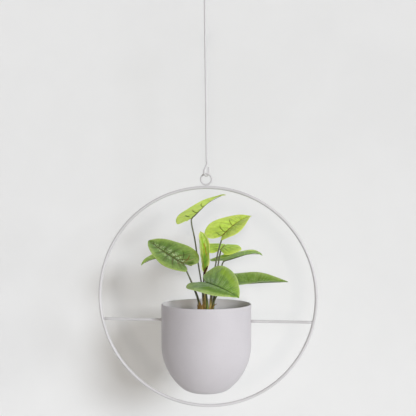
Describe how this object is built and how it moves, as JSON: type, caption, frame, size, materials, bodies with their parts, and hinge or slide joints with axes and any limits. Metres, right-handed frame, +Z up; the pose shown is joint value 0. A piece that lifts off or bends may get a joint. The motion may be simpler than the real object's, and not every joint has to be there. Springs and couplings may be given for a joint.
{
  "type": "hanging ring planter",
  "caption": "Hanging planter: a round steel hoop on a bent wire hanger, with bars across it that carry a round-bottomed pot by its sides, and a heart-leaved plant inside.",
  "frame": {"origin": "seat of the hanger's top crook: the point on the underside of the wire that rests on whatever the planter hangs from", "axes": "+X along the bars to the viewer's right, +Y away from the viewer, +Z up along the hanger"},
  "size_m": [0.355, 0.1615, 0.6804],
  "materials": {
    "white_steel": "satin powder coat",
    "pot_paint": "matt powder coat",
    "zinc": "zinc plated",
    "black_plastic": "matt moulded",
    "soil": "loose and rough",
    "young_leaf": "soft sheen",
    "old_leaf": "soft sheen",
    "stalk": "soft sheen",
    "dry_sheath": "dry and matt"
  },
  "bodies": {
    "hanger": {"hanger_wire": "white_steel"},
    "planter": {"hanging_eye": "white_steel", "hoop": "white_steel", "pot": "pot_paint", "bar_left": "white_steel", "bar_right": "white_steel", "washer_left": "zinc", "washer_right": "zinc", "screw_left": "zinc", "screw_right": "zinc"},
    "plant": {"nursery_pot": "black_plastic", "potting_soil": "soil", "leaf_top": "young_leaf", "leaf_upper_right": "young_leaf", "leaf_furled": "young_leaf", "leaf_middle_right": "young_leaf", "leaf_right_back": "old_leaf", "leaf_left": "old_leaf", "leaf_far_left": "old_leaf", "leaf_front": "old_leaf", "leaf_right_low": "old_leaf", "stalk_top": "stalk", "stalk_upper_right": "stalk", "stalk_furled": "dry_sheath", "stalk_middle_right": "stalk", "stalk_right_back": "stalk", "stalk_left": "stalk", "stalk_far_left": "stalk", "stalk_front": "stalk", "stalk_right_low": "stalk", "dry_sheath": "dry_sheath", "dry_shoot": "dry_sheath"}
  },
  "joints": [
    {"name": "planter_swing", "type": "hinge", "parent": "hanger", "child": "planter", "pos_m": [0, 0, -0.3032], "axis": [1, 0, 0], "range_deg": [-35, 35]},
    {"name": "plant_lift", "type": "slide", "parent": "planter", "child": "plant", "axis": [0, 0, 1], "range_m": [0, 0.05]}
  ]
}
